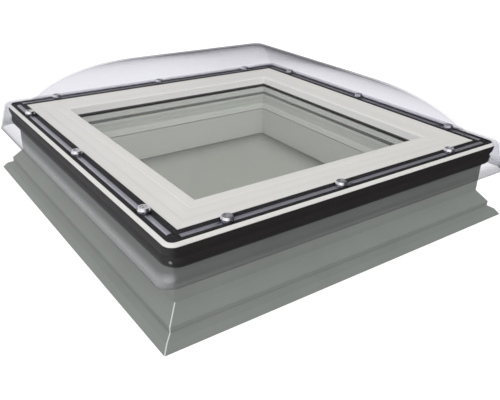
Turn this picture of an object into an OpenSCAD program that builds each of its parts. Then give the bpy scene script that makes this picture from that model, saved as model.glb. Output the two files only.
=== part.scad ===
// Square roof skylight for a flat roof: an insulated kerb with a spread foot, a hinged sash with
// a sealed double pane, and a clear moulded dome with a skirt, screwed down along a metal rail.
// Sections are drawn as (distance outward from the light opening, height above the roof).
// Origin: centre of the light opening, at the underside of the foot. +Z is up, the hinges are at +Y.

/* [Light opening] */
// Clear size of the light opening along X
opening_x = 634; // [540:2:780]
// Clear size of the light opening along Y, from the opener to the hinges
opening_y = 634; // [540:2:780]

/* [Kerb] */
// Height of the kerb's upstand above the roof
kerb_h = 166; // [150:1:230]
// Thickness of the kerb, from the light opening to its outer wall
kerb_w = 104; // [102:1:108]
// Thickness of the upstand that stands outside the sash's leg
upstand_w = 54; // [45:1:54]
// Depth of the kerb's rebate below the top of the upstand
rebate_d = 84; // [80:1:92]
// Reach of the foot beyond the outer wall
foot_reach = 48; // [40:1:64]
// Height where the slope of the foot meets the outer wall
slope_top_z = 60; // [50:1:72]
// Wall thickness of the hollow sections
skin = 3; // [2.5:0.1:3.6]

/* [Sash] */
// Gap between the top of the upstand and the sash
sash_gap = 4; // [4:0.5:6]
// Height of the sash's top plate
plate_h = 16; // [14:0.5:20]
// Thickness of the sash's leg, which hangs inside the upstand
leg_w = 44; // [40:0.5:44]
// Gap between the foot of the leg and the kerb's ledge
leg_gap = 2; // [2:0.5:4]
// Width of the flat border from the light opening to the dome rail's groove
border_w = 83; // [80:0.5:85]

/* [Glazing] */
// Depth of the outer pane's top below the top of the sash
glass_drop = 26; // [23:1:32]
// Thickness of the outer pane
outer_pane_t = 6; // [4:1:8]
// Thickness of the inner pane
inner_pane_t = 6; // [4:1:8]
// Gap between the panes
cavity_t = 14; // [10:1:16]
// How far the panes reach under the sash
edge_cover = 18; // [15:0.5:19]
// Height of the glazing bead
bead_h = 29; // [22:1:29]

/* [Dome] */
// Thickness of the dome
dome_t = 3; // [3:0.5:4]
// Height of the dome above its flange
dome_h = 155; // [90:1:220]
// Reach of the dome's flange beyond the kerb's outer wall
flange_reach = 26; // [24:0.5:28]
// Depth of the skirt below the top of the flange
skirt_d = 70.5; // [50:0.5:98]
// How far the skirt leans out on its way down
skirt_lean = 18; // [10:1:22]
// Screws along each side of the dome
screws_per_side = 3; // [2:1:5]
// Distance of the outermost screws from the corner of the light opening
screw_inset = 4; // [0:1:40]
// Base radius of a dome cap
cap_r = 12; // [10:0.5:12]
// Height of a dome cap
cap_h = 6; // [5:0.5:9]

/* [Hinges] */
// Distance of each hinge from the middle of its side
hinge_x = 200; // [120:5:230]
// Length of a hinge
hinge_l = 72; // [60:2:100]
// Radius of the hinge pins
hinge_pin_r = 3; // [2.5:0.25:3.5]
// Radial clearance of a pin in its bore
pin_play = 0.05; // [0.03:0.01:0.08]

/* [Opener] */
// Outer radius of the opener's housing
housing_r = 17; // [16:0.5:17]
// Outer radius of the telescopic tube
tube_r = 13.6; // [12.6:0.1:13.6]
// Radius of the push rod
rod_r = 9; // [7.5:0.5:9]
// Radius of the opener's pivot pins
pivot_r = 4; // [3:0.5:5]

/* [Hidden] */

half = [opening_x / 2, opening_y / 2];
function half_at(side) = half[side % 2];

// Heights above the underside of the foot
ledge_z = kerb_h - rebate_d;
leg_low_z = ledge_z + leg_gap;
sash_low_z = kerb_h + sash_gap;
sash_top_z = sash_low_z + plate_h;
groove_z = sash_top_z - 2;
rim_low_z = sash_top_z - 6;
glass_top_z = sash_top_z - glass_drop;
outer_pane_z = glass_top_z - outer_pane_t;
inner_top_z = outer_pane_z - cavity_t;
inner_pane_z = inner_top_z - inner_pane_t;
outer_gasket_t = 5;
inner_gasket_t = 2.5;
lip_z = glass_top_z + outer_gasket_t;
bead_top_z = inner_pane_z - inner_gasket_t;
bead_low_z = bead_top_z - bead_h;
flange_z = sash_top_z + 1.6;
flange_top_z = flange_z + dome_t;

// Distances outward from the light opening
upstand_o = kerb_w - upstand_w;
rebate_o = edge_cover + 4;
groove_o = border_w + 34;
rail_o = border_w + 12.5;
rail_w = 11;
screw_o = rail_o + rail_w / 2;
foot_o = kerb_w + foot_reach;
step_o = kerb_w + foot_reach / 2;

// Clearances
seat_play = 0.3;
screw_play = 0.1;
press_play = 0.05;
fine = 48;
far = 1000;

// ---- Shapes that repeat ----------------------------------------------------------------------

// A rectangle from one corner of a section to the other
module block2(low, high) {
    translate(low)
        square(high - low);
}

// A box from its lowest corner to its highest corner
module block3(low, high) {
    translate(low)
        cube(high - low);
}

// A cylinder along X, centred on its place
module rod_x(place, r, l) {
    translate(place)
        rotate([0, 90, 0])
            cylinder(r = r, h = l, center = true, $fn = fine);
}

// Turns a child drawn for the +X side onto another side: 0 is +X, 1 is +Y, 2 is -X, 3 is -Y
module on_side(side) {
    rotate([0, 0, 90 * side])
        translate([half_at(side), 0, 0])
            children();
}

// A section standing on its side's edge, as a straight bar
module straight_bar(side, l) {
    on_side(side)
        rotate([90, 0, 0])
            linear_extrude(l, center = true)
                children();
}

// A bar cut at 45 degrees at both ends; the child is its section
module mitred_bar(side) {
    reach = 200;
    inset = 20;
    g = half_at(side + 1);
    intersection() {
        straight_bar(side, 2 * (g + reach))
            children();
        on_side(side)
            translate([0, 0, -1])
                linear_extrude(far)
                    polygon([
                        [-inset, inset - g],
                        [reach, -g - reach],
                        [reach, g + reach],
                        [-inset, g - inset]
                    ]);
    }
}

// Four mitred bars welded into one frame
module welded_frame() {
    union()
        for (side = [0:3])
            mitred_bar(side)
                children();
}

// A frame with round corners; its section starts on a line that lies outside the opening
module rounded_frame(line) {
    union()
        for (side = [0:3]) {
            straight_bar(side, 2 * (half_at(side + 1) + line))
                translate([line, 0])
                    children();
            on_side(side)
                translate([line, half_at(side + 1) + line, 0])
                    rotate_extrude(angle = 90, $fn = fine)
                        children();
        }
}

// Level outlines of a rounded rectangle, one per row: [reach in x, reach in y, corner radius, height]
corner_steps = 8;
function outline(x, y, r, z) =
    [for (q = [0:3], i = [0:corner_steps])
        let (a = 90 * q + 90 * i / corner_steps,
             sx = (q == 0 || q == 3) ? 1 : -1,
             sy = q < 2 ? 1 : -1)
        [sx * (x - r) + r * cos(a), sy * (y - r) + r * sin(a), z]];

// Faces between each row and the next, round to the first one again, apart from one open row
function row_faces(count, n, open_row = -1) =
    [for (k = [0:count - 1], i = [0:n - 1])
        if (k != open_row)
            let (j = (i + 1) % n, up = ((k + 1) % count) * n, down = k * n)
            each [[down + i, up + j, down + j], [down + i, up + i, up + j]]];

// A plain screw along +Z with its head's underside at the origin
module screw(head_r, head_h, shank_r, shank_l) {
    cylinder(r = head_r, h = head_h, $fn = fine);
    translate([0, 0, -shank_l])
        cylinder(r = shank_r, h = shank_l, $fn = fine);
}

// ---- Kerb ------------------------------------------------------------------------------------

seal_slot_w = 10;
ledge_seal_o = 14;
ledge_seal_d = 2;
upstand_seal_o = upstand_o + 20;
upstand_seal_d = 3;
toe_top_z = 29;

// The two chambers that are filled with foam
module foam_chambers(play) {
    block2([skin + play, skin + play],
        [upstand_o - play, ledge_z - ledge_seal_d - skin - play]);
    block2([upstand_o + skin + play, toe_top_z + play],
        [kerb_w - skin - play, kerb_h - upstand_seal_d - skin - play]);
}

// The empty hollow of the foot
module foot_chamber() {
    polygon([
        [upstand_o + skin, skin],
        [foot_o - 14, skin],
        [foot_o - 17, 9],
        [step_o - skin, 17],
        [step_o - skin, toe_top_z - skin],
        [upstand_o + skin, toe_top_z - skin]
    ]);
}

module kerb_section() {
    difference() {
        polygon([
            [0, 0],
            [foot_o, 0],
            [foot_o, 1],
            [foot_o - 10.4, 14.3],
            [step_o, 21],
            [step_o, 33],
            [kerb_w, slope_top_z],
            [kerb_w, kerb_h],
            [upstand_o, kerb_h],
            [upstand_o, ledge_z],
            [0, ledge_z]
        ]);
        foam_chambers(0);
        foot_chamber();
        block2([ledge_seal_o, ledge_z - ledge_seal_d], [ledge_seal_o + seal_slot_w, ledge_z + 1]);
        block2([upstand_seal_o, kerb_h - upstand_seal_d],
            [upstand_seal_o + seal_slot_w, kerb_h + 1]);
    }
}

module kerb_frame() {
    color([0.58, 0.61, 0.58])
        difference() {
            welded_frame()
                kerb_section();
            kerb_leaf_screw_places()
                cylinder(r = leaf_screw_r + screw_play, h = 60, center = true, $fn = fine);
            kerb_bracket_screw_places()
                cylinder(r = bracket_screw_r + screw_play, h = 60, center = true, $fn = fine);
        }
}

module kerb_insulation() {
    color([0.93, 0.93, 0.90])
        difference() {
            welded_frame()
                foam_chambers(seat_play);
            kerb_leaf_screw_places()
                cylinder(r = leaf_screw_r + 2 * screw_play, h = 60, center = true, $fn = fine);
            kerb_bracket_screw_places()
                cylinder(r = bracket_screw_r + 2 * screw_play, h = 60, center = true, $fn = fine);
        }
}

// A bulb seal: a flat foot in its slot, a waist and a hollow round top
module bulb_section(o, low, top) {
    bulb_r = 3.2;
    mid_o = o + seal_slot_w / 2;
    block2([o + seat_play, low], [o + seal_slot_w - seat_play, low + 1.5]);
    difference() {
        union() {
            block2([mid_o - 1.5, low], [mid_o + 1.5, top - bulb_r]);
            translate([mid_o, top - bulb_r])
                circle(r = bulb_r, $fn = fine);
        }
        translate([mid_o, top - bulb_r])
            circle(r = bulb_r - 1.1, $fn = fine);
    }
}

module upstand_seal() {
    color([0.11, 0.11, 0.12])
        welded_frame()
            bulb_section(upstand_seal_o, kerb_h - upstand_seal_d, sash_low_z - seat_play);
}

module ledge_seal() {
    color([0.11, 0.11, 0.12])
        welded_frame()
            block2([ledge_seal_o + seat_play, ledge_z - ledge_seal_d],
                [ledge_seal_o + seal_slot_w - seat_play, leg_low_z - seat_play]);
}

// ---- Sash ------------------------------------------------------------------------------------

leg_chamber_o = rebate_o + skin;
leg_chamber_z = leg_low_z + skin;
leg_chamber_top_z = lip_z;
plate_low_z = sash_low_z + skin;

// The chamber of the leg that holds the metal stiffener
module stiffener_chamber(play) {
    block2([leg_chamber_o + play, leg_chamber_z + play],
        [leg_w - skin - play, leg_chamber_top_z - play]);
}

module sash_section() {
    difference() {
        polygon([
            [0, leg_low_z],
            [leg_w, leg_low_z],
            [leg_w, sash_low_z],
            [kerb_w, sash_low_z],
            [kerb_w, groove_z],
            [border_w, groove_z],
            [border_w, sash_top_z],
            [border_w - 22, sash_top_z],
            [border_w - 27, sash_top_z - 0.7],
            [26, sash_top_z - 0.7],
            [22, sash_top_z],
            [2.5, sash_top_z],
            [0.7, sash_top_z - 0.8],
            [0, sash_top_z - 2.5],
            [0, lip_z],
            [rebate_o, lip_z],
            [rebate_o, bead_low_z - seat_play],
            [0, bead_low_z - seat_play]
        ]);
        stiffener_chamber(0);
        // Chambers of the foot, the lip, the border and the groove
        block2([skin, leg_chamber_z], [rebate_o, bead_low_z - seat_play - skin]);
        block2([skin, lip_z + skin], [rebate_o - 1, sash_top_z - 1 - skin]);
        block2([rebate_o + 2, plate_low_z], [border_w - 2, sash_top_z - 1 - skin]);
        block2([border_w + 1, plate_low_z], [screw_o - 4, groove_z - skin]);
    }
}

// The rim outside the groove; its section starts on the line of the kerb's outer wall
rim_r = 19.4;
rim_groove_r = groove_o - kerb_w;
module rim_section() {
    polygon([
        [0, rim_low_z],
        [rim_r, rim_low_z],
        [rim_r - 3.1, sash_top_z - 1.2],
        [rim_r - 5.8, sash_top_z],
        [rim_groove_r, sash_top_z],
        [rim_groove_r, groove_z],
        [0, groove_z]
    ]);
}

module sash_frame() {
    color([0.86, 0.855, 0.84])
        difference() {
            union() {
                welded_frame()
                    sash_section();
                rounded_frame(kerb_w)
                    rim_section();
            }
            dome_screw_places()
                translate([0, 0, groove_z - dome_screw_bite - 0.5])
                    cylinder(r = dome_screw_r + screw_play, h = dome_screw_bite + 2, $fn = fine);
            sash_leaf_screw_places()
                cylinder(r = leaf_screw_r + screw_play, h = 2 * leaf_screw_bite, center = true,
                    $fn = fine);
            sash_bracket_screw_places()
                cylinder(r = bracket_screw_r + screw_play, h = 2 * bracket_screw_l, center = true,
                    $fn = fine);
        }
}

// Four square-ended metal tubes inside the legs
module sash_reinforcement() {
    wall = 1.5;
    color([0.62, 0.63, 0.65])
        for (side = [0:3])
            straight_bar(side, 2 * half_at(side + 1))
                difference() {
                    stiffener_chamber(seat_play);
                    stiffener_chamber(seat_play + wall);
                }
}

// ---- Glazing ---------------------------------------------------------------------------------

module pane(z, t) {
    reach = half + [edge_cover, edge_cover];
    block3([-reach[0], -reach[1], z], [reach[0], reach[1], z + t]);
}

module outer_pane() {
    color([0.62, 0.66, 0.62, 0.4])
        pane(outer_pane_z, outer_pane_t);
}

module inner_pane() {
    color([0.62, 0.66, 0.62, 0.4])
        pane(inner_pane_z, inner_pane_t);
}

spacer_o = 2;
spacer_w = 7;

module glazing_spacer() {
    wall = 0.8;
    color([0.74, 0.74, 0.73])
        welded_frame()
            difference() {
                block2([spacer_o, inner_top_z], [spacer_o + spacer_w, outer_pane_z]);
                block2([spacer_o + wall, inner_top_z + wall],
                    [spacer_o + spacer_w - wall, outer_pane_z - wall]);
            }
}

module edge_sealant() {
    color([0.2, 0.2, 0.2])
        welded_frame()
            block2([spacer_o + spacer_w, inner_top_z], [edge_cover - 0.5, outer_pane_z]);
}

module outer_glazing_gasket() {
    color([0.2, 0.19, 0.19])
        welded_frame()
            polygon([
                [0.8, glass_top_z],
                [edge_cover - 6, glass_top_z],
                [edge_cover - 6, lip_z],
                [0.2, lip_z],
                [0.2, lip_z - 2]
            ]);
}

module inner_glazing_gasket() {
    color([0.2, 0.19, 0.19])
        welded_frame()
            block2([0.8, bead_top_z], [edge_cover - 6, inner_pane_z]);
}

module glazing_bead() {
    wall = 2.2;
    color([0.84, 0.84, 0.82])
        welded_frame()
            difference() {
                polygon([
                    [0, bead_low_z],
                    [rebate_o - seat_play, bead_low_z],
                    [rebate_o - seat_play, bead_top_z],
                    [3, bead_top_z],
                    [0, bead_top_z - 3]
                ]);
                block2([wall, bead_low_z + wall], [rebate_o - seat_play - wall, bead_top_z - wall - 2]);
            }
}

// Two blocks on each side carry the pane's edges in the rebate
module setting_block() {
    block_l = 100;
    color([0.15, 0.32, 0.55])
        for (side = [0:3])
            for (end = [-1, 1])
                on_side(side)
                    translate([0, end * half_at(side + 1) * 0.62, 0])
                        block3([edge_cover + 0.2, -block_l / 2, inner_pane_z],
                            [rebate_o - 0.2, block_l / 2, glass_top_z]);
}

// ---- Dome, its seals and its fastenings ------------------------------------------------------

dome_screw_r = 2.4;
dome_screw_bite = 5.5;
washer_z = groove_z + 3;

// Places of the dome screws along one side; on the opener's side they are spread unevenly
function even_places(g) =
    [for (i = [0:screws_per_side - 1]) (g - screw_inset) * (2 * i / (screws_per_side - 1) - 1)];
opener_side_shift = [0, -46, -28];
function screw_shift(side, i) =
    side == 3 && screws_per_side == len(opener_side_shift) ? opener_side_shift[i] : 0;

module dome_screw_places() {
    for (side = [0:3])
        for (i = [0:screws_per_side - 1])
            on_side(side)
                translate([screw_o, even_places(half_at(side + 1))[i] + screw_shift(side, i), 0])
                    children();
}

module inner_dome_seal() {
    color([0.14, 0.135, 0.14])
        welded_frame()
            translate([border_w, groove_z])
                polygon([
                    [0.2, 0], [rail_o - border_w - 0.3, 0], [rail_o - border_w - 0.3, 2.1], [7, 2.3],
                    [5.5, 3.3], [2, 3.5], [0.6, 2.8]
                ]);
}

module outer_dome_seal() {
    inner_r = rail_o + rail_w - kerb_w + 1.1;
    color([0.14, 0.135, 0.14])
        rounded_frame(kerb_w)
            translate([0, groove_z])
                polygon([
                    [inner_r, 0], [rim_groove_r - 0.2, 0], [rim_groove_r - 0.6, 2.8],
                    [rim_groove_r - 1.6, 3.5], [rim_groove_r - 3.8, 3.3], [rim_groove_r - 4.6, 2.3],
                    [inner_r, 2.1]
                ]);
}

// The metal rail, four square-ended bars with a raised bead that stop short of the corners
rail_end_gap = 12;
function rail_l(side) = 2 * (half_at(side + 1) + screw_o - rail_end_gap);

module dome_rail() {
    color([0.72, 0.72, 0.75])
        difference() {
            for (side = [0:3])
                straight_bar(side, rail_l(side))
                    translate([rail_o, groove_z])
                        polygon([
                            [0, 0], [rail_w, 0], [rail_w, 1.6], [rail_w - 1.6, 2.7], [rail_w - 3, 3],
                            [3, 3], [1.6, 2.7], [0, 1.6]
                        ]);
            dome_screw_places()
                translate([0, 0, groove_z])
                    cylinder(r = dome_screw_r + screw_play, h = 20, center = true, $fn = fine);
        }
}

// A low dab of sealant in each corner, between the ends of the rails
module corner_sealant() {
    color([0.10, 0.10, 0.10])
        difference() {
            welded_frame()
                translate([rail_o, groove_z])
                    polygon([
                        [0.2, 0], [rail_w - 0.2, 0], [rail_w - 0.2, 1.8], [rail_w - 2.5, 2.9],
                        [2.5, 2.9], [0.2, 1.8]
                    ]);
            for (side = [0:3])
                straight_bar(side, rail_l(side) + 2 * seat_play)
                    block2([rail_o - 1, groove_z - 1], [rail_o + rail_w + 1, groove_z + 5]);
        }
}

// Flat washers that keep the flange at its height over the rail
module dome_washer() {
    color([0.72, 0.72, 0.75])
        difference() {
            dome_screw_places()
                translate([0, 0, washer_z])
                    cylinder(r = cap_r - 1, h = flange_z - washer_z, $fn = fine);
            dome_screw_places()
                translate([0, 0, washer_z - 1])
                    cylinder(r = dome_screw_r + screw_play, h = 10, $fn = fine);
        }
}

// A cap: a sleeve in the flange's hole, a tapered body and a recess for the screw's head
sleeve_r = cap_r - 2;
recess_r = cap_r - 5;
recess_d = 3.2;
module dome_cap() {
    color([0.80, 0.80, 0.83])
        dome_screw_places()
            translate([0, 0, flange_z])
                rotate_extrude($fn = fine)
                    polygon([
                        [dome_screw_r + screw_play, 0],
                        [sleeve_r, 0],
                        [sleeve_r, dome_t],
                        [cap_r, dome_t],
                        [cap_r, dome_t + 1],
                        [cap_r - 1.8, dome_t + cap_h],
                        [recess_r, dome_t + cap_h],
                        [recess_r, dome_t + cap_h - recess_d],
                        [dome_screw_r + screw_play, dome_t + cap_h - recess_d]
                    ]);
}

module dome_screw() {
    head_h = 2.2;
    head_z = flange_top_z + cap_h - recess_d;
    color([0.55, 0.55, 0.57])
        dome_screw_places()
            translate([0, 0, head_z])
                difference() {
                    screw(recess_r - 0.8, head_h, dome_screw_r, head_z - groove_z + dome_screw_bite);
                    translate([0, 0, head_h - 1.2])
                        cylinder(r = 2.2, h = 2, $fn = 6);
                }
}

flange_corner_r = 18;
skirt_corner_r = 31;
dome_rows = 15;
base_inset = 3;
apex_share = 0.035;

// Share of the way in to the middle at each row, closer together near the dome's foot
function dome_share(i) = (1 - apex_share) * pow(i / dome_rows, 1.7);
function dome_rise(t, h) = h * pow(1 - pow(1 - t, 2.7), 0.8);
function corner_share(t) = 0.03 + 0.97 * pow(t, 4);

// A stack of outlines, up the outside and down the inside, closed with a fan at each apex
module dome_shell() {
    t = dome_t;
    base = half + [border_w - base_inset, border_w - base_inset];
    flange = half + [kerb_w + flange_reach, kerb_w + flange_reach];
    skirt = flange + [skirt_lean, skirt_lean];
    skirt_low_z = flange_top_z - skirt_d;
    least = min(base[0], base[1]);
    outside = concat(
        [outline(skirt[0], skirt[1], skirt_corner_r, skirt_low_z)],
        [outline(flange[0] + 0.9, flange[1] + 0.9, flange_corner_r + 0.7, flange_top_z - 4)],
        [outline(flange[0] - 0.3, flange[1] - 0.3, flange_corner_r, flange_top_z - 1.2)],
        [outline(flange[0] - 2.5, flange[1] - 2.5, flange_corner_r - 2, flange_top_z)],
        [for (i = [0:dome_rows])
            let (s = dome_share(i))
            outline(base[0] * (1 - s), base[1] * (1 - s), least * (1 - s) * corner_share(s),
                flange_top_z + dome_rise(s, dome_h))]
    );
    inside = concat(
        [for (i = [dome_rows:-1:0])
            let (s = dome_share(i))
            outline((base[0] - t) * (1 - s), (base[1] - t) * (1 - s),
                (least - t) * (1 - s) * corner_share(s),
                flange_z + dome_rise(s, dome_h))],
        [outline(flange[0] - t - 1.5, flange[1] - t - 1.5, flange_corner_r - t - 1, flange_z)],
        [outline(flange[0] - t + 0.3, flange[1] - t + 0.3, flange_corner_r - t + 0.4, flange_z - 1.6)],
        [outline(skirt[0] - t, skirt[1] - t, skirt_corner_r - t, skirt_low_z)]
    );
    rows = concat(outside, inside);
    n = len(rows[0]);
    last_out = len(outside) - 1;
    points = concat([for (row = rows) each row],
        [[0, 0, flange_top_z + dome_h], [0, 0, flange_z + dome_h]]);
    top_out = len(points) - 2;
    top_in = len(points) - 1;
    faces = concat(
        row_faces(len(rows), n, last_out),
        [for (i = [0:n - 1]) [last_out * n + i, top_out, last_out * n + (i + 1) % n]],
        [for (i = [0:n - 1]) [(last_out + 1) * n + (i + 1) % n, top_in, (last_out + 1) * n + i]]
    );
    polyhedron(points, faces);
}

module dome() {
    color([0.88, 0.88, 0.92, 0.35])
        difference() {
            dome_shell();
            dome_screw_places()
                translate([0, 0, flange_z - 2])
                    cylinder(r = sleeve_r + 0.5, h = dome_t + 4, $fn = fine);
        }
}

// ---- Drip profile ----------------------------------------------------------------------------

drip_t = 2.5;
drip_reach = 20.3;
drip_screw_z = rim_low_z - 30;

// Its section, [distance out from the kerb's outer wall line, height above the rim's underside]:
// up the two bulges outside and down the inside
drip_section = [
    [10.5, -42.6], [10.5, -45], [13.2, -44.3], [16.8, -41.5], [19.2, -37], [20, -32], [19.8, -28],
    [18.4, -24.5], [17.5, -22], [17.8, -19.5], [19.5, -14], [drip_reach, -7], [20, -2.5],
    [rim_r - 0.6, 0], [2, 0], [2, -drip_t], [17.4, -drip_t], [17.8, -7], [17, -13.5], [15.4, -18.6],
    [15, -22], [15.6, -25], [17.2, -28.4], [17.5, -32], [16.9, -36], [15, -39.6], [12.4, -42]
];

// The corners are tucked in towards the kerb, from nothing at the top to the most at the lower bulge
drip_tuck = 13;
tuck_h = 30;
function tuck_at(low) =
    let (t = min(low / tuck_h, 1))
    drip_tuck * t * t * (3 - 2 * t);

module drip_corner_places() {
    for (side = [0:3])
        on_side(side)
            translate([kerb_w, half_at(side + 1) + kerb_w, drip_screw_z])
                rotate([0, 90, 45])
                    children();
}

module drip_shell() {
    wall = half + [kerb_w, kerb_w];
    rows = [for (p = drip_section)
        outline(wall[0] + p[0], wall[1] + p[0], p[0] + tuck_at(-p[1]), rim_low_z + p[1])];
    polyhedron([for (row = rows) each row], row_faces(len(rows), len(rows[0])));
}

module drip_profile() {
    color([0.2, 0.19, 0.19])
        difference() {
            drip_shell();
            sash_leaf_screw_places()
                cylinder(r = leaf_screw_r + screw_play, h = 10, center = true, $fn = fine);
            drip_corner_places()
                cylinder(r = 1.6, h = 30, $fn = fine);
        }
}

// One small screw through each corner's lower bulge
module drip_corner_screw() {
    seat = drip_reach - (sqrt(2) - 1) * tuck_at(rim_low_z - drip_screw_z);
    color([0.85, 0.85, 0.87])
        drip_corner_places()
            translate([0, 0, seat])
                screw(3, 1.2, 1.5, 7);
}

// ---- Hinges ----------------------------------------------------------------------------------

leaf_t = 2.5;
leaf_screw_r = 1.9;
leaf_screw_bite = 3;
leaf_head_r = 3.6;
leaf_head_h = 1.8;
barrel_r = hinge_pin_r + 2.5;
hinge_y = half[1] + kerb_w + barrel_r + 3;
hinge_z = kerb_h - 6;
knuckle_gap = 0.4;
knuckle_l = (hinge_l - 2 * knuckle_gap) / 3;
wall_y = half[1] + kerb_w;
sash_leaf_z = rim_low_z - drip_t;

module at_hinges() {
    for (x = [-hinge_x, hinge_x])
        translate([x, 0, 0])
            children();
}

// Axes of the screws into the kerb's wall: +Z of a screw points away from the kerb
module kerb_leaf_screw_places() {
    at_hinges()
        for (x = [-1, 1])
            translate([x * (hinge_l / 2 - 12), wall_y + leaf_t, hinge_z - 30])
                rotate([-90, 0, 0])
                    children();
}

// Axes of the screws into the sash's rim, on the underside of the rim, +Z upward
module sash_leaf_screw_places() {
    at_hinges()
        for (x = [-1, 1])
            translate([x * (hinge_l / 2 - 9), hinge_y - 1, rim_low_z])
                children();
}

module kerb_hinge_leaf() {
    color([0.70, 0.70, 0.72])
        difference() {
            at_hinges() {
                block3([-hinge_l / 2, wall_y, hinge_z - 40], [hinge_l / 2, wall_y + leaf_t, hinge_z]);
                for (end = [-1, 1])
                    translate([end * (hinge_l - knuckle_l) / 2, 0, 0]) {
                        rod_x([0, hinge_y, hinge_z], barrel_r, knuckle_l);
                        block3([-knuckle_l / 2, wall_y, hinge_z - leaf_t],
                            [knuckle_l / 2, hinge_y, hinge_z]);
                    }
            }
            rod_x([0, hinge_y, hinge_z], hinge_pin_r + pin_play, 2 * hinge_x + 2 * hinge_l);
            kerb_leaf_screw_places()
                cylinder(r = leaf_screw_r + screw_play, h = 20, center = true, $fn = fine);
        }
}

module kerb_leaf_screw() {
    color([0.75, 0.75, 0.77])
        kerb_leaf_screw_places()
            screw(leaf_head_r, leaf_head_h, leaf_screw_r, 18);
}

module sash_hinge_leaf() {
    color([0.70, 0.70, 0.72])
        difference() {
            at_hinges() {
                block3([-hinge_l / 2, hinge_y - 7, sash_leaf_z - leaf_t],
                    [hinge_l / 2, hinge_y + 5, sash_leaf_z]);
                block3([-knuckle_l / 2, hinge_y - leaf_t / 2, hinge_z],
                    [knuckle_l / 2, hinge_y + leaf_t / 2, sash_leaf_z - leaf_t / 2]);
                rod_x([0, hinge_y, hinge_z], barrel_r, knuckle_l);
            }
            rod_x([0, hinge_y, hinge_z], hinge_pin_r + pin_play, 2 * hinge_x + 2 * hinge_l);
            sash_leaf_screw_places()
                cylinder(r = leaf_screw_r + screw_play, h = 30, center = true, $fn = fine);
        }
}

module sash_leaf_screw() {
    color([0.75, 0.75, 0.77])
        sash_leaf_screw_places()
            translate([0, 0, -drip_t - leaf_t])
                rotate([180, 0, 0])
                    screw(leaf_head_r, leaf_head_h, leaf_screw_r, drip_t + leaf_t + leaf_screw_bite - 0.5);
}

// A pin with a round head at its outer end
module hinge_pin() {
    color([0.78, 0.78, 0.80])
        for (side = [-1, 1])
            translate([side * hinge_x, 0, 0]) {
                rod_x([0, hinge_y, hinge_z], hinge_pin_r, hinge_l + 2);
                rod_x([side * (hinge_l / 2 + 1.5), hinge_y, hinge_z], hinge_pin_r + 1.5, 2);
            }
}

// ---- Opener ----------------------------------------------------------------------------------

bracket_t = 4;
bracket_screw_r = 2.4;
bracket_screw_l = 16;
inner_y = -half[1];

// The two pivots, measured from the inner face on the opener's side
lower_pivot = [0, inner_y + 31, 45];
upper_pivot = [0, inner_y + 23, leg_low_z + 28];
pivot_d = norm(upper_pivot - lower_pivot);
lean = atan2(upper_pivot[1] - lower_pivot[1], upper_pivot[2] - lower_pivot[2]);

// Places along the opener's own axis, measured from the lower pivot
housing_low = -37;
tube_low = -24;
rod_low = -22;
housing_top = pivot_d - 14;
tube_top = pivot_d - 11;
drive_top = tube_low - 1;
housing_wall = 2;
tube_wall = 2.6;
slide_gap = 0.4;
collar_h = 14;
collar_x = housing_r + 4.5;
collar_y = housing_r + 1.5;
ear_x = collar_x + 0.5;
ear_r = pivot_r + 5;
eye_r = pivot_r + 4;
eye_x = 9.5;

module along_opener() {
    translate(lower_pivot)
        rotate([-lean, 0, 0])
            children();
}

module opener_ring(r_in, r_out, low, high) {
    along_opener()
        translate([0, 0, low])
            difference() {
                cylinder(r = r_out, h = high - low, $fn = fine);
                translate([0, 0, -1])
                    cylinder(r = r_in, h = high - low + 2, $fn = fine);
            }
}

module kerb_bracket_screw_places() {
    for (x = [-33, 33], z = [20, 68])
        translate([x, inner_y + bracket_t, z])
            rotate([-90, 0, 0])
                children();
}

module sash_bracket_screw_places() {
    for (x = [-24, 24])
        translate([x, inner_y + bracket_t, leg_low_z + 8])
            rotate([-90, 0, 0])
                children();
}

// An ear of a bracket: a plate from the wall to a rounded end around its pivot
module ear(x, t, pivot, r) {
    translate([x, 0, 0])
        rotate([90, 0, 90])
            linear_extrude(t) {
                translate([pivot[1], pivot[2]])
                    circle(r = r, $fn = fine);
                block2([inner_y, pivot[2] - r], [pivot[1], pivot[2] + r]);
            }
}

module kerb_bracket() {
    color([0.66, 0.67, 0.69])
        difference() {
            union() {
                block3([-41, inner_y, 12], [41, inner_y + bracket_t, 76]);
                ear(ear_x, bracket_t, lower_pivot, ear_r);
                ear(-ear_x - bracket_t, bracket_t, lower_pivot, ear_r);
            }
            rod_x(lower_pivot, pivot_r + pin_play, 100);
            kerb_bracket_screw_places()
                cylinder(r = bracket_screw_r + screw_play, h = 20, center = true, $fn = fine);
        }
}

module kerb_bracket_screw() {
    color([0.75, 0.75, 0.77])
        kerb_bracket_screw_places()
            screw(4.4, 2.4, bracket_screw_r, bracket_screw_l);
}

// Two headed pins through the kerb bracket's ears into the collar
module trunnion_pin() {
    pin_l = ear_x + bracket_t - housing_r - 0.5;
    color([0.78, 0.78, 0.80])
        for (side = [-1, 1]) {
            rod_x(lower_pivot + [side * (housing_r + 0.5 + pin_l / 2), 0, 0], pivot_r, pin_l);
            rod_x(lower_pivot + [side * (ear_x + bracket_t + 1.25), 0, 0], pivot_r + 2.5, 2.5);
        }
}

module trunnion_collar() {
    color([0.30, 0.30, 0.31])
        along_opener()
            difference() {
                block3([-collar_x, -collar_y, -collar_h / 2], [collar_x, collar_y, collar_h / 2]);
                cylinder(r = housing_r + press_play, h = collar_h + 2, center = true, $fn = fine);
                rod_x([0, 0, 0], pivot_r + pin_play, 100);
            }
}

module opener_housing() {
    color([0.80, 0.80, 0.80])
        opener_ring(housing_r - housing_wall, housing_r, drive_top, housing_top);
}

// The sealed motor and gear at the housing's lower end
module opener_drive_unit() {
    color([0.25, 0.25, 0.26])
        along_opener()
            translate([0, 0, housing_low])
                difference() {
                    cylinder(r = housing_r, h = drive_top - housing_low, $fn = fine);
                    translate([0, 0, 6])
                        rotate([-90, 0, 0])
                            cylinder(r = 3, h = 40, $fn = fine);
                }
}

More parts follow.
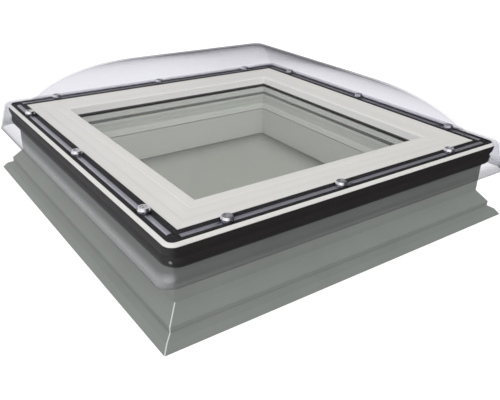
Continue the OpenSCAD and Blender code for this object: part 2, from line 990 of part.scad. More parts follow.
module cable_gland() {
    color([0.12, 0.12, 0.12])
        along_opener()
            translate([0, housing_r - 3, housing_low + 6])
                rotate([-90, 0, 0])
                    difference() {
                        union() {
                            cylinder(r = 3 - press_play, h = 4, $fn = fine);
                            translate([0, 0, 3.6])
                                cylinder(r = 4.6, h = 5, $fn = fine);
                        }
                        translate([0, 0, -1])
                            cylinder(r = 1.8, h = 12, $fn = fine);
                    }
}

module housing_bush() {
    color([0.12, 0.12, 0.12]) {
        opener_ring(tube_r + slide_gap, housing_r - housing_wall - press_play, housing_top - 6,
            housing_top);
        opener_ring(tube_r + slide_gap, housing_r, housing_top, housing_top + 1.5);
    }
}

module opener_tube() {
    color([0.74, 0.75, 0.76])
        opener_ring(tube_r - tube_wall, tube_r, tube_low, tube_top);
}

module tube_bush() {
    color([0.12, 0.12, 0.12])
        opener_ring(rod_r + 2 * slide_gap, tube_r - tube_wall - press_play, tube_top - 6, tube_top);
}

module push_rod() {
    color([0.78, 0.79, 0.80])
        along_opener()
            translate([0, 0, rod_low])
                cylinder(r = rod_r, h = pivot_d - eye_r - 1 - rod_low, $fn = fine);
}

module rod_eye() {
    color([0.62, 0.63, 0.65])
        along_opener()
            difference() {
                union() {
                    rod_x([0, 0, pivot_d], eye_r, 2 * eye_x);
                    translate([0, 0, pivot_d - eye_r - 1])
                        cylinder(r = rod_r, h = eye_r - 1, $fn = fine);
                }
                rod_x([0, 0, pivot_d], pivot_r + pin_play, 40);
            }
}

module sash_bracket() {
    ear_in = eye_x + 0.5;
    color([0.66, 0.67, 0.69])
        difference() {
            union() {
                block3([-32, inner_y, leg_low_z + 1],
                    [32, inner_y + bracket_t, upper_pivot[2] + eye_r]);
                ear(ear_in, bracket_t, upper_pivot, eye_r);
                ear(-ear_in - bracket_t, bracket_t, upper_pivot, eye_r);
            }
            rod_x(upper_pivot, pivot_r + pin_play, 100);
            sash_bracket_screw_places()
                cylinder(r = bracket_screw_r + screw_play, h = 20, center = true, $fn = fine);
        }
}

module sash_bracket_screw() {
    color([0.75, 0.75, 0.77])
        sash_bracket_screw_places()
            screw(4.4, 2.4, bracket_screw_r, bracket_screw_l);
}

module upper_pivot_pin() {
    pin_l = 2 * (eye_x + 0.5 + bracket_t);
    color([0.78, 0.78, 0.80]) {
        rod_x(upper_pivot, pivot_r, pin_l);
        for (side = [-1, 1])
            rod_x(upper_pivot + [side * (pin_l / 2 + 1), 0, 0], pivot_r + 2, 2);
    }
}

// ---- The assembly ----------------------------------------------------------------------------

kerb_frame();
kerb_insulation();
upstand_seal();
ledge_seal();
kerb_hinge_leaf();
kerb_leaf_screw();
sash_frame();
sash_reinforcement();
sash_hinge_leaf();
sash_leaf_screw();
hinge_pin();
outer_pane();
inner_pane();
glazing_spacer();
edge_sealant();
outer_glazing_gasket();
inner_glazing_gasket();
glazing_bead();
setting_block();
inner_dome_seal();
dome_rail();
outer_dome_seal();
corner_sealant();
dome_washer();
dome();
dome_cap();
dome_screw();
drip_profile();
drip_corner_screw();
kerb_bracket();
kerb_bracket_screw();
trunnion_pin();
trunnion_collar();
opener_housing();
opener_drive_unit();
cable_gland();
housing_bush();
opener_tube();
tube_bush();
push_rod();
rod_eye();
sash_bracket();
sash_bracket_screw();
upper_pivot_pin();
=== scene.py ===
"""Square roof skylight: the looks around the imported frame. Lengths are in metres, in the part's frame."""

import math

import bmesh
import bpy
from mathutils import Matrix, Vector


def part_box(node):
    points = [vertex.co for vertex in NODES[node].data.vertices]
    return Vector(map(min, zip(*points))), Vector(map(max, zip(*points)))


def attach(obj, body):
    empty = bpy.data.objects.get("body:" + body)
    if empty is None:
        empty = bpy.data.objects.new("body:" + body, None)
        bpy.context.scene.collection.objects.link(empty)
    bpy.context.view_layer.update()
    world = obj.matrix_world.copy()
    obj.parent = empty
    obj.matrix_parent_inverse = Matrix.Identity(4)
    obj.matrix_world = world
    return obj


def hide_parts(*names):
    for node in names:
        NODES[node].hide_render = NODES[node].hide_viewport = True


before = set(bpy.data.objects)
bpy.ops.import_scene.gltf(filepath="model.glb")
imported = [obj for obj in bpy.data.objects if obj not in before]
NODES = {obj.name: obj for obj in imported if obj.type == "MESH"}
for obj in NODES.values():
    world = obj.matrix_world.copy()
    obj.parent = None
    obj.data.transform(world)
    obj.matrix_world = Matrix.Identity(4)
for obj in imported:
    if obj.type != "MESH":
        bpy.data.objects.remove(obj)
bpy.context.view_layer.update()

# ---- Sizes that the dome and the small details are drawn from --------------------------------

# The panes reach this far under the sash's inner edge.
EDGE_COVER = 0.018
OPENING_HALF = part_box("outer_pane")[1].x - EDGE_COVER
LINING_EDGE = OPENING_HALF + 0.0005

DOME_LOW, DOME_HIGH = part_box("dome")
DOME_T = 0.003
FLANGE_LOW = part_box("dome_washer")[1].z
FLANGE_TOP = FLANGE_LOW + DOME_T
DOME_RISE = DOME_HIGH.z - FLANGE_TOP

# How far the dome's foot and its flange lie beyond the light opening.
BASE_REACH = 0.080
FLANGE_REACH = 0.130
BASE_HALF = OPENING_HALF + BASE_REACH
FLANGE_HALF = OPENING_HALF + FLANGE_REACH

FLANGE_CORNER = 0.018
SKIRT_CORNER = 0.031
SHOULDER_R = 0.004
FOOT_FILLET = 0.006
CAP_HOLE_R = 0.0105
CUT_MARGIN = 0.001

DRIP_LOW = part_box("drip_profile")[0].z
SPACER_MID_Z = (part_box("glazing_spacer")[0].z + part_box("glazing_spacer")[1].z) / 2
# The kerb's mitres carry a painted highlight up to this height.
KERB_SEAM_HIGHLIGHT_TOP = 0.062

# ---- Node helpers ----------------------------------------------------------------------------


def put(tree, kind, settings=None, **inputs):
    """Adds a shader node. A value that is a socket is linked, any other is set on the input."""
    node = tree.nodes.new("ShaderNode" + kind)
    for key, value in (settings or {}).items():
        setattr(node, key, value)
    for key, value in inputs.items():
        socket = node.inputs[key.replace("_", " ")]
        if isinstance(value, bpy.types.NodeSocket):
            tree.links.new(value, socket)
        else:
            socket.default_value = value
    return node


def calc(tree, operation, *values):
    """A Math node's result; its values are numbers or sockets."""
    node = tree.nodes.new("ShaderNodeMath")
    node.operation = operation
    for socket, value in zip(node.inputs, values):
        if isinstance(value, bpy.types.NodeSocket):
            tree.links.new(value, socket)
        else:
            socket.default_value = value
    return node.outputs[0]


def ranged(tree, value, low, high, to_low, to_high):
    """Maps a value from one range to another, held inside it."""
    node = put(
        tree, "MapRange", None,
        Value=value, From_Min=low, From_Max=high, To_Min=to_low, To_Max=to_high,
    )
    return node.outputs["Result"]


def mixed(tree, factor, first, second):
    """Mixes two colours by a factor."""
    node = tree.nodes.new("ShaderNodeMix")
    node.data_type = "RGBA"
    for socket, value in ((node.inputs[0], factor), (node.inputs[6], first), (node.inputs[7], second)):
        if isinstance(value, bpy.types.NodeSocket):
            tree.links.new(value, socket)
        else:
            socket.default_value = value
    return node.outputs[2]


def rgba(colour, gain=1.0):
    """A colour made brighter or darker by gain, with full alpha."""
    return (colour[0] * gain, colour[1] * gain, colour[2] * gain, 1.0)


def new_material(name):
    """An empty node material, with its tree and its output node."""
    material = bpy.data.materials.new(name)
    material.use_nodes = True
    tree = material.node_tree
    tree.nodes.clear()
    return material, tree, tree.nodes.new("ShaderNodeOutputMaterial")


# Textures on a bar are drawn out along it by this share.
ALONG_STRETCH = 0.01


class BarCoordinates:
    """Where a point lies on a four-sided frame: out from its middle, along its bar and up."""

    def __init__(self, tree):
        self.point = put(tree, "TexCoord").outputs["Object"]
        axes = put(tree, "SeparateXYZ", None, Vector=self.point).outputs
        far_x = calc(tree, "ABSOLUTE", axes["X"])
        far_y = calc(tree, "ABSOLUTE", axes["Y"])
        self.out = calc(tree, "MAXIMUM", far_x, far_y)
        self.along = calc(tree, "MINIMUM", far_x, far_y)
        self.height = axes["Z"]
        slow = calc(tree, "MULTIPLY", self.along, ALONG_STRETCH)
        self.section = put(tree, "CombineXYZ", None, X=self.out, Y=self.height, Z=slow).outputs[0]


# ---- Materials -------------------------------------------------------------------------------


def extruded(name, colour, rough, seam_and_highlight=None, seam_and_highlight_w=0.0004, seam_and_highlight_top=1.0,
             lines=0.5, mottle=0.05, specular=0.5, inner=None):
    """Extruded plastic or rubber: fine lines along each bar and a faint mottle.

    The seam colour marks the trimmed weld at the mitres, up to a given height: a darker joint on
    the sash and the bead, and on the kerb a lighter painted highlight; inner colours the faces that
    line the light opening.
    """
    material, tree, out = new_material(name)
    bar = BarCoordinates(tree)
    fine = put(tree, "TexNoise", None, Vector=bar.section, Scale=900.0, Detail=3.0, Roughness=0.6)
    broad = put(tree, "TexNoise", None, Vector=bar.section, Scale=120.0, Detail=2.0, Roughness=0.5)
    grain = put(tree, "TexNoise", None, Vector=bar.point, Scale=1500.0, Detail=2.0)
    cloud = put(tree, "TexNoise", None, Vector=bar.point, Scale=7.0, Detail=4.0, Roughness=0.6)
    shade = mixed(
        tree,
        ranged(tree, cloud.outputs[0], 0.3, 0.7, 0.0, 1.0),
        rgba(colour, 1.0 - mottle),
        rgba(colour, 1.0 + mottle),
    )
    streaks = ranged(tree, broad.outputs[0], 0.35, 0.65, 0.0, 0.35 * lines)
    shade = mixed(tree, streaks, shade, rgba(colour, 0.84))
    # The band along the mitres: a darker joint on the sash and the bead, a painted highlight on the kerb.
    if seam_and_highlight:
        mitre = calc(tree, "SUBTRACT", bar.out, bar.along)
        band = ranged(tree, mitre, seam_and_highlight_w * 0.6, seam_and_highlight_w * 1.4, 1.0, 0.0)
        below_top = ranged(tree, bar.height, seam_and_highlight_top - 0.003, seam_and_highlight_top, 1.0, 0.0)
        shade = mixed(tree, calc(tree, "MULTIPLY", band, below_top), shade, rgba(seam_and_highlight))
    if inner:
        lining = ranged(tree, bar.out, LINING_EDGE, LINING_EDGE + 0.0005, 1.0, 0.0)
        shade = mixed(tree, lining, shade, rgba(inner))
    roughness = ranged(tree, fine.outputs[0], 0.3, 0.7, rough - 0.06, rough + 0.06)
    relief = calc(tree, "ADD", calc(tree, "MULTIPLY", fine.outputs[0], lines), grain.outputs[0])
    bump = put(tree, "Bump", None, Strength=0.10, Distance=0.0002, Height=relief)
    bsdf = put(
        tree, "BsdfPrincipled", None,
        Base_Color=shade, Roughness=roughness, Normal=bump.outputs[0],
        IOR=1.5, Specular_IOR_Level=specular,
    )
    tree.links.new(bsdf.outputs[0], out.inputs["Surface"])
    return material


def metal(name, colour, rough, lines=0.0):
    """Metal with a fine grain, and drawing lines along each bar where lines is over 0."""
    material, tree, out = new_material(name)
    scratch = 0.15
    bar = BarCoordinates(tree)
    grain = put(tree, "TexNoise", None, Vector=bar.point, Scale=700.0, Detail=5.0, Roughness=0.7)
    drawn = put(tree, "TexNoise", None, Vector=bar.section, Scale=1600.0, Detail=3.0)
    worn = put(tree, "TexNoise", None, Vector=bar.point, Scale=45.0, Detail=5.0, Roughness=0.7)
    shade = mixed(
        tree,
        ranged(tree, worn.outputs[0], 0.35, 0.65, 0.0, 1.0),
        rgba(colour, 0.92),
        rgba(colour, 1.04),
    )
    spread = calc(tree, "ADD", calc(tree, "MULTIPLY", grain.outputs[0], scratch),
                  calc(tree, "MULTIPLY", drawn.outputs[0], lines))
    roughness = ranged(tree, spread, 0.0, scratch + lines, rough * 0.7, rough * 1.3)
    bump = put(tree, "Bump", None, Strength=0.2, Distance=0.0001, Height=spread)
    bsdf = put(
        tree, "BsdfPrincipled", None,
        Base_Color=shade, Roughness=roughness, Normal=bump.outputs[0], Metallic=1.0,
    )
    tree.links.new(bsdf.outputs[0], out.inputs["Surface"])
    return material


def clear_sheet(name, tint, edge_tint, edge_power, gloss, edge_gloss, skirt=None):
    """A clear sheet that lets light straight through, darker and glossier where it is seen edge-on.

    skirt gives the flange and skirt a tint of their own, and the hem below the drip profile a gloss.
    """
    material, tree, out = new_material(name)
    point = put(tree, "TexCoord").outputs["Object"]
    ripple = put(tree, "TexNoise", None, Vector=point, Scale=9.0, Detail=2.0)
    cloud = put(tree, "TexNoise", None, Vector=point, Scale=5.0, Detail=3.0)
    bump = put(tree, "Bump", None, Strength=0.15, Distance=0.0008, Height=ripple.outputs[0])
    facing = put(tree, "LayerWeight", None, Blend=0.5).outputs["Facing"]
    centre = mixed(tree, cloud.outputs[0], rgba(tint, 0.997), rgba(tint, 1.003))
    share = calc(tree, "MULTIPLY_ADD", calc(tree, "POWER", facing, 5.0), edge_gloss, gloss)
    if skirt:
        height = put(tree, "SeparateXYZ", None, Vector=point).outputs["Z"]
        low = ranged(tree, height, FLANGE_LOW - 0.004, FLANGE_LOW + 0.001, 1.0, 0.0)
        centre = mixed(tree, low, centre, rgba(skirt["tint"]))
        hem = ranged(tree, height, DRIP_LOW - 0.004, DRIP_LOW + 0.012, 1.0, 0.0)
        share = calc(tree, "MULTIPLY_ADD", hem, skirt["gloss"], share)
    colour = mixed(tree, calc(tree, "POWER", facing, edge_power), centre, rgba(edge_tint))
    through = put(tree, "BsdfTransparent", None, Color=colour)
    mirror = put(tree, "BsdfGlossy", None, Color=(1, 1, 1, 1), Roughness=0.05, Normal=bump.outputs[0])
    sheet = put(tree, "MixShader")
    tree.links.new(share, sheet.inputs[0])
    tree.links.new(through.outputs[0], sheet.inputs[1])
    tree.links.new(mirror.outputs[0], sheet.inputs[2])
    tree.links.new(sheet.outputs[0], out.inputs["Surface"])
    return material


def foam():
    """Closed-cell insulation: small cells in colour and relief."""
    material, tree, out = new_material("foam_cells")
    point = put(tree, "TexCoord").outputs["Object"]
    cells = put(tree, "TexVoronoi", None, Vector=point, Scale=420.0)
    shade = mixed(tree, ranged(tree, cells.outputs[0], 0.0, 0.8, 0.0, 1.0),
                  (0.86, 0.86, 0.82, 1), (0.66, 0.66, 0.62, 1))
    bump = put(tree, "Bump", None, Strength=0.5, Distance=0.0006, Height=cells.outputs[0])
    bsdf = put(tree, "BsdfPrincipled", None, Base_Color=shade, Roughness=0.9, Normal=bump.outputs[0])
    tree.links.new(bsdf.outputs[0], out.inputs["Surface"])
    return material


def moulded(name, colour, rough):
    """Moulded plastic with a fine spark-eroded texture."""
    material, tree, out = new_material(name)
    point = put(tree, "TexCoord").outputs["Object"]
    texture = put(tree, "TexNoise", None, Vector=point, Scale=1100.0, Detail=3.0)
    cloud = put(tree, "TexNoise", None, Vector=point, Scale=30.0, Detail=3.0)
    shade = mixed(tree, cloud.outputs[0], rgba(colour, 0.9), rgba(colour, 1.15))
    bump = put(tree, "Bump", None, Strength=0.4, Distance=0.0002, Height=texture.outputs[0])
    roughness = ranged(tree, texture.outputs[0], 0.3, 0.7, rough - 0.07, rough + 0.07)
    bsdf = put(tree, "BsdfPrincipled", None, Base_Color=shade, Roughness=roughness, Normal=bump.outputs[0])
    tree.links.new(bsdf.outputs[0], out.inputs["Surface"])
    return material


def spacer_metal():
    """Dull spacer bar with a row of tiny holes along its inner face."""
    material, tree, out = new_material("spacer_holes")
    bar = BarCoordinates(tree)
    pitch = 0.004
    phase = calc(tree, "SUBTRACT", calc(tree, "FRACT", calc(tree, "DIVIDE", bar.along, pitch)), 0.5)
    side = calc(tree, "MULTIPLY", phase, pitch)
    height = calc(tree, "SUBTRACT", bar.height, SPACER_MID_Z)
    squares = calc(tree, "ADD", calc(tree, "MULTIPLY", side, side), calc(tree, "MULTIPLY", height, height))
    hole = ranged(tree, calc(tree, "SQRT", squares), 0.0003, 0.0005, 1.0, 0.0)
    cloud = put(tree, "TexNoise", None, Vector=bar.section, Scale=200.0, Detail=2.0)
    shade = mixed(tree, cloud.outputs[0], (0.74, 0.74, 0.72, 1), (0.82, 0.82, 0.80, 1))
    shade = mixed(tree, hole, shade, (0.08, 0.08, 0.08, 1))
    bsdf = put(tree, "BsdfPrincipled", None, Base_Color=shade, Roughness=0.45)
    tree.links.new(bsdf.outputs[0], out.inputs["Surface"])
    return material


def frame_looks():
    """The kerb, the sash and what is fixed in the sash's groove and around its edge."""
    return {
        # The kerb's lighter seam colour is a painted highlight on the trimmed weld at each mitre.
        "kerb_frame": extruded(
            "kerb_plastic", (0.190, 0.203, 0.190), 0.45,
            seam_and_highlight=(0.55, 0.58, 0.56), seam_and_highlight_w=0.0014, seam_and_highlight_top=KERB_SEAM_HIGHLIGHT_TOP,
            specular=0.35, inner=(0.80, 0.80, 0.77),
        ),
        "kerb_insulation": foam(),
        "sash_frame": extruded(
            "sash_plastic", (0.765, 0.757, 0.705), 0.32,
            seam_and_highlight=(0.70, 0.695, 0.67), mottle=0.02, inner=(0.96, 0.955, 0.93),
        ),
        "glazing_bead": extruded("bead_plastic", (0.80, 0.80, 0.77), 0.32, seam_and_highlight=(0.66, 0.66, 0.64)),
        "dome_rail": metal("rail_satin", (0.74, 0.74, 0.79), 0.32, lines=0.5),
        "dome_washer": metal("washer_satin", (0.70, 0.70, 0.74), 0.28),
        "dome_cap": metal("cap_polish", (0.90, 0.90, 0.94), 0.09),
        "drip_profile": extruded("drip_black", (0.023, 0.020, 0.0185), 0.45, lines=0.4, specular=0.35),
    }


def glazing_looks():
    """The sealed unit and what holds it."""
    glass = clear_sheet(
        "clear_glass", tint=(0.965, 0.970, 0.955), edge_tint=(0.60, 0.70, 0.62),
        edge_power=6.0, gloss=0.02, edge_gloss=0.5,
    )
    return {
        "outer_pane": glass,
        "inner_pane": glass,
        "glazing_spacer": spacer_metal(),
        "edge_sealant": moulded("edge_sealant_grey", (0.05, 0.05, 0.05), 0.6),
        "setting_block": moulded("block_blue", (0.03, 0.09, 0.25), 0.5),
        "outer_glazing_gasket": extruded("gasket_rubber", (0.075, 0.075, 0.07), 0.6, lines=0.3, mottle=0.10),
    }


# Pieces that share one look.
RUBBER_PIECES = (
    "upstand_seal", "ledge_seal", "inner_glazing_gasket",
    "inner_dome_seal", "outer_dome_seal", "corner_sealant",
)
ZINC_PIECES = (
    "kerb_hinge_leaf", "sash_hinge_leaf", "kerb_bracket", "sash_bracket", "sash_reinforcement",
    "kerb_leaf_screw", "sash_leaf_screw", "kerb_bracket_screw", "sash_bracket_screw", "rod_eye",
)
STEEL_PIECES = ("hinge_pin", "trunnion_pin", "upper_pivot_pin", "push_rod", "dome_screw", "drip_corner_screw")
BLACK_PIECES = ("trunnion_collar", "opener_drive_unit", "cable_gland", "housing_bush", "tube_bush")


def make_materials():
    """The material of each node, by the node's name."""
    looks = frame_looks()
    looks.update(glazing_looks())
    looks["opener_housing"] = metal("opener_tube_outer", (0.72, 0.72, 0.73), 0.30, lines=0.4)
    looks["opener_tube"] = metal("opener_tube_inner", (0.76, 0.76, 0.78), 0.24, lines=0.4)
    shared = (
        (RUBBER_PIECES, extruded("black_rubber", (0.011, 0.010, 0.011), 0.62, lines=0.3, mottle=0.10,
                                 specular=0.3)),
        (ZINC_PIECES, metal("zinc_plate", (0.62, 0.63, 0.65), 0.35)),
        (STEEL_PIECES, metal("bright_steel", (0.75, 0.75, 0.77), 0.18)),
        (BLACK_PIECES, moulded("opener_black", (0.03, 0.03, 0.032), 0.45)),
    )
    for names, look in shared:
        for name in names:
            looks[name] = look
    return looks


# ---- The dome --------------------------------------------------------------------------------

CORNER_STEPS = 16
SIDE_STEPS = 20
SKIRT_STEPS = 4
SHOULDER_STEPS = 5
DOME_STEPS = 44

# The dome's curve: flat in the middle by FULLNESS, steep at the foot by STEEPNESS.
FULLNESS = 2.7
STEEPNESS = 0.8

# Corner radius as a share of an outline's half width at the foot, and how late it grows.
BASE_CORNER = 0.03
CORNER_GROWTH = 4

# Rows crowd towards the foot, and the last one lies this far in; a flat fan closes the top.
ROW_CROWDING = 1.8
LAST_ROW = 0.985

# The corner's radius shrinks by this share of what the shoulder moves in.
SHOULDER_CORNER_SHARE = 0.8

# The fillet at the foot: its middle row lies so far out and up, and the dome starts so high.
FILLET_MID_OUT = 0.35
FILLET_MID_UP = 0.25
FILLET_TOP = 0.8


def outline(half, radius, z):
    """A level square with round corners, the same number of points whatever its size."""
    points = []
    straight = half - radius
    for quarter in range(4):
        turn = Matrix.Rotation(quarter * math.pi / 2, 2)
        for step in range(CORNER_STEPS + 1):
            angle = math.pi / 2 * step / CORNER_STEPS
            out = Vector((math.cos(angle), math.sin(angle)))
            points.append(turn @ (Vector((straight, straight)) + radius * out))
        for step in range(1, SIDE_STEPS):
            share = 1 - 2 * step / SIDE_STEPS
            points.append(turn @ Vector((straight * share, half)))
    return [(p.x, p.y, z) for p in points]


def corner_share(share):
    """Corner radius as a share of an outline's half width, from the dome's foot to its middle."""
    return BASE_CORNER + (1 - BASE_CORNER) * share ** CORNER_GROWTH


def dome_height(share):
    """Height over the flange, from the dome's foot to its middle."""
    return DOME_RISE * (1 - (1 - share) ** FULLNESS) ** STEEPNESS


def dome_rows(inset):
    """Outlines of one face of the sheet, from the skirt's edge to near the top; inset moves it inward."""
    rows = []
    low = DOME_LOW.z
    flange = FLANGE_HALF - inset
    skirt = DOME_HIGH.x - inset
    top = FLANGE_TOP - inset
    lean = (skirt - flange) / (top - low)
    for step in range(SKIRT_STEPS + 1):
        share = step / SKIRT_STEPS
        z = low + (top - SHOULDER_R - low) * share
        half = skirt - (z - low) * lean
        rows.append((half, SKIRT_CORNER - inset + (FLANGE_CORNER - SKIRT_CORNER) * share, z))
    shoulder = rows[-1][0]
    for step in range(1, SHOULDER_STEPS + 1):
        angle = math.pi / 2 * step / SHOULDER_STEPS
        moved_in = SHOULDER_R * (1 - math.cos(angle))
        corner = FLANGE_CORNER - inset - moved_in * SHOULDER_CORNER_SHARE
        rows.append((shoulder - moved_in, corner, top - SHOULDER_R + SHOULDER_R * math.sin(angle)))
    base = BASE_HALF - inset
    corner = BASE_CORNER * base
    middle = FOOT_FILLET * FILLET_MID_OUT
    rows.append((base + FOOT_FILLET, corner + FOOT_FILLET, top))
    rows.append((base + middle, corner + middle, top + FOOT_FILLET * FILLET_MID_UP))
    for step in range(1, DOME_STEPS + 1):
        share = LAST_ROW * (step / DOME_STEPS) ** ROW_CROWDING
        rise = dome_height(share)
        if rise > FOOT_FILLET * FILLET_TOP:
            half = base * (1 - share)
            rows.append((half, half * corner_share(share), top + rise))
    return rows


def add_loop(mesh, row):
    """Adds an outline's points to a mesh."""
    return [mesh.verts.new(point) for point in outline(*row)]


def bridge(mesh, lower, upper):
    """Joins two outlines by a band of faces."""
    count = len(lower)
    for i in range(count):
        j = (i + 1) % count
        mesh.faces.new((lower[i], lower[j], upper[j], upper[i]))


def screw_centres():
    """The middle of each dome screw, from the separate solids of their node."""
    mesh = bmesh.new()
    mesh.from_mesh(NODES["dome_screw"].data)
    bmesh.ops.remove_doubles(mesh, verts=mesh.verts, dist=1e-6)
    left = set(mesh.verts)
    centres = []
    while left:
        edge = [left.pop()]
        island = []
        while edge:
            vert = edge.pop()
            island.append(vert.co.copy())
            for link in vert.link_edges:
                other = link.other_vert(vert)
                if other in left:
                    left.remove(other)
                    edge.append(other)
        low_x, high_x = min(p.x for p in island), max(p.x for p in island)
        low_y, high_y = min(p.y for p in island), max(p.y for p in island)
        centres.append(((low_x + high_x) / 2, (low_y + high_y) / 2))
    mesh.free()
    return sorted(centres)


def pierce(piece, centres):
    """Cuts the screws' round holes through the flange."""
    mesh = bmesh.new()
    for x, y in centres:
        bmesh.ops.create_cone(
            mesh, cap_ends=True, segments=40, radius1=CAP_HOLE_R, radius2=CAP_HOLE_R,
            depth=DOME_T + 2 * CUT_MARGIN,
            matrix=Matrix.Translation((x, y, (FLANGE_LOW + FLANGE_TOP) / 2)),
        )
    data = bpy.data.meshes.new("hole_cutters")
    mesh.to_mesh(data)
    mesh.free()
    cutter = bpy.data.objects.new("hole_cutters", data)
    bpy.context.scene.collection.objects.link(cutter)
    cut = piece.modifiers.new("holes", "BOOLEAN")
    cut.operation = "DIFFERENCE"
    cut.solver = "EXACT"
    cut.object = cutter
    graph = bpy.context.evaluated_depsgraph_get()
    pierced = bpy.data.meshes.new_from_object(piece.evaluated_get(graph))
    piece.modifiers.clear()
    piece.data = pierced
    bpy.data.objects.remove(cutter)


def make_dome():
    """The moulded sheet with its flange, skirt and screw holes."""
    mesh = bmesh.new()
    outer = [add_loop(mesh, row) for row in dome_rows(0.0)]
    inner = [add_loop(mesh, row) for row in dome_rows(DOME_T)]
    for face in (outer, inner):
        for lower, upper in zip(face, face[1:]):
            bridge(mesh, lower, upper)
    bridge(mesh, inner[0], outer[0])
    for face in (outer, inner):
        top = mesh.verts.new((0, 0, face[-1][0].co.z))
        for i, point in enumerate(face[-1]):
            mesh.faces.new((point, face[-1][(i + 1) % len(face[-1])], top))
    bmesh.ops.recalc_face_normals(mesh, faces=mesh.faces)
    data = bpy.data.meshes.new("dome_sheet")
    mesh.to_mesh(data)
    mesh.free()
    data.shade_smooth()
    piece = bpy.data.objects.new("dome_sheet", data)
    bpy.context.scene.collection.objects.link(piece)
    pierce(piece, screw_centres())
    return piece


# ---- Stage, light and camera -----------------------------------------------------------------


FLOOR_HALF = 14
FLOOR_DROP = 0.0005
FLOOR_GLOW = 0.34
# Inside the kerb the floor has a painted shade for the light shaft and no glow; a painted shadow darkens it
# further this near to the kerb's inner walls.
UNDER_KERB = OPENING_HALF + 0.02
PAINTED_WALL_SHADOW_W = 0.10


def floor_paper():
    """Bright paper around the kerb; inside it a painted shade for the light shaft, with a painted shadow that
    darkens it towards the walls.
    """
    material, tree, out = new_material("floor_paper")
    bar = BarCoordinates(tree)
    cloud = put(tree, "TexNoise", None, Vector=bar.point, Scale=3.0, Detail=3.0)
    paper = mixed(tree, cloud.outputs[0], (0.77, 0.77, 0.77, 1), (0.79, 0.79, 0.79, 1))
    # Painted shade: inside the kerb the floor is duller and does not glow.
    shaft_shade_mask = ranged(tree, bar.out, UNDER_KERB, UNDER_KERB + 0.01, 1.0, 0.0)
    # Painted shadow: the floor darkens towards the kerb's inner walls.
    painted_wall_shadow = ranged(tree, bar.out, OPENING_HALF - PAINTED_WALL_SHADOW_W, OPENING_HALF, 0.0, 1.0)
    painted_wall_shadow = calc(tree, "POWER", painted_wall_shadow, 2.0)
    # The shaft floor's painted shade, darkest at the walls.
    painted_shaft_shade = mixed(tree, painted_wall_shadow, (0.47, 0.47, 0.44, 1), (0.15, 0.15, 0.14, 1))
    shade = mixed(tree, shaft_shade_mask, paper, painted_shaft_shade)
    glow = mixed(tree, shaft_shade_mask, (1.0, 1.0, 1.0, 1), (0.0, 0.0, 0.0, 1))
    bsdf = put(
        tree, "BsdfPrincipled", None,
        Base_Color=shade, Roughness=0.9, Specular_IOR_Level=0.1,
        Emission_Color=glow, Emission_Strength=FLOOR_GLOW,
    )
    tree.links.new(bsdf.outputs[0], out.inputs["Surface"])
    return material


def make_floor():
    """A level floor just under the kerb, left out of reflections."""
    mesh = bmesh.new()
    bmesh.ops.create_grid(mesh, x_segments=1, y_segments=1, size=FLOOR_HALF)
    data = bpy.data.meshes.new("floor")
    mesh.to_mesh(data)
    mesh.free()
    floor = bpy.data.objects.new("floor", data)
    floor.location.z = -FLOOR_DROP
    bpy.context.scene.collection.objects.link(floor)
    data.materials.append(floor_paper())
    floor.visible_glossy = False


KEY_FROM = Vector((-0.14, -0.50, 0.86))
KEY_STRENGTH = 2.0
KEY_SPREAD = math.radians(50)
SKY_BRIGHT_SIDE = Vector((-0.68, 0.62, 0.39))
SKY_DARKEST = 0.08
SKY_BRIGHTEST = 0.88
FRONT_BOX_SIDE = Vector((-0.58, -0.80, 0.12))
FRONT_BOX_STRENGTH = 0.55


def make_key():
    """A soft key from above the near side, which polished faces don't show."""
    data = bpy.data.lights.new("key", "SUN")
    data.energy = KEY_STRENGTH
    data.angle = KEY_SPREAD
    key = bpy.data.objects.new("key", data)
    key.rotation_euler = (-KEY_FROM).to_track_quat("-Z", "Y").to_euler()
    key.visible_glossy = False
    bpy.context.scene.collection.objects.link(key)


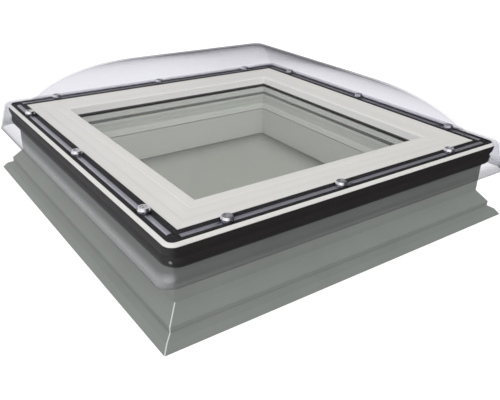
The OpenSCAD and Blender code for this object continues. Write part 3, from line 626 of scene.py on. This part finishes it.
def make_studio():
    """A studio sky, brightest at the far left, with a soft glow low in front."""
    world = bpy.data.worlds.new("studio")
    bpy.context.scene.world = world
    world.use_nodes = True
    tree = world.node_tree
    direction = put(tree, "TexCoord").outputs["Generated"]

    def towards(side):
        """How nearly a direction points towards a side, from -1 to 1."""
        dot = put(tree, "VectorMath", {"operation": "DOT_PRODUCT"})
        tree.links.new(direction, dot.inputs[0])
        dot.inputs[1].default_value = side
        return dot.outputs["Value"]

    sky = ranged(tree, towards(SKY_BRIGHT_SIDE), -0.7, 0.9, SKY_DARKEST, SKY_BRIGHTEST)
    front_box = ranged(tree, towards(FRONT_BOX_SIDE), 0.60, 0.98, 0.0, FRONT_BOX_STRENGTH)
    backdrop = tree.nodes["Background"]
    backdrop.inputs["Color"].default_value = (1.0, 1.0, 1.0, 1.0)
    tree.links.new(calc(tree, "ADD", sky, front_box), backdrop.inputs["Strength"])


# The camera that a fit to the photo's corners gave: its place, and its angles in degrees.
CAMERA_AT = (-0.8150, -1.1621, 0.6703)
CAMERA_TURN = -36.430
CAMERA_TILT = 63.695
CAMERA_ROLL = 1.753
CAMERA_LENS = 42.815
CAMERA_SENSOR = 36.0


def make_camera():
    """The photo's view."""
    data = bpy.data.cameras.new("photo_view")
    data.sensor_width = CAMERA_SENSOR
    data.lens = CAMERA_LENS
    camera = bpy.data.objects.new("photo_view", data)
    turn = Matrix.Rotation(math.radians(CAMERA_TURN), 3, "Z")
    tilt = Matrix.Rotation(math.radians(CAMERA_TILT), 3, "X")
    roll = Matrix.Rotation(math.radians(CAMERA_ROLL), 3, "Z")
    camera.rotation_euler = (turn @ tilt @ roll).to_euler()
    camera.location = CAMERA_AT
    bpy.context.scene.collection.objects.link(camera)
    bpy.context.scene.camera = camera


# ---- Putting it together ---------------------------------------------------------------------


def dress(name, material):
    """Puts a material on each of a node's slots."""
    slots = NODES[name].material_slots
    for slot in slots:
        slot.material = material
    if not slots:
        NODES[name].data.materials.append(material)


make_camera()
for node_name, look in make_materials().items():
    dress(node_name, look)

dome_sheet = make_dome()
dome_sheet.data.materials.clear()
dome_sheet.data.materials.append(
    clear_sheet(
        "clear_acrylic", tint=(0.916, 0.914, 0.930), edge_tint=(0.24, 0.24, 0.26),
        edge_power=8.0, gloss=0.01, edge_gloss=0.02,
        skirt={"tint": (0.85, 0.85, 0.87), "gloss": 0.22},
    )
)
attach(dome_sheet, "sash")
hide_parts("dome")

# Clear sheets cast no shadow, so that the key reaches the shaft's walls.
for sheet in (dome_sheet, NODES["outer_pane"], NODES["inner_pane"]):
    sheet.visible_shadow = False
    sheet.visible_diffuse = False

make_floor()
make_key()
make_studio()
bpy.context.scene.view_settings.view_transform = "Standard"
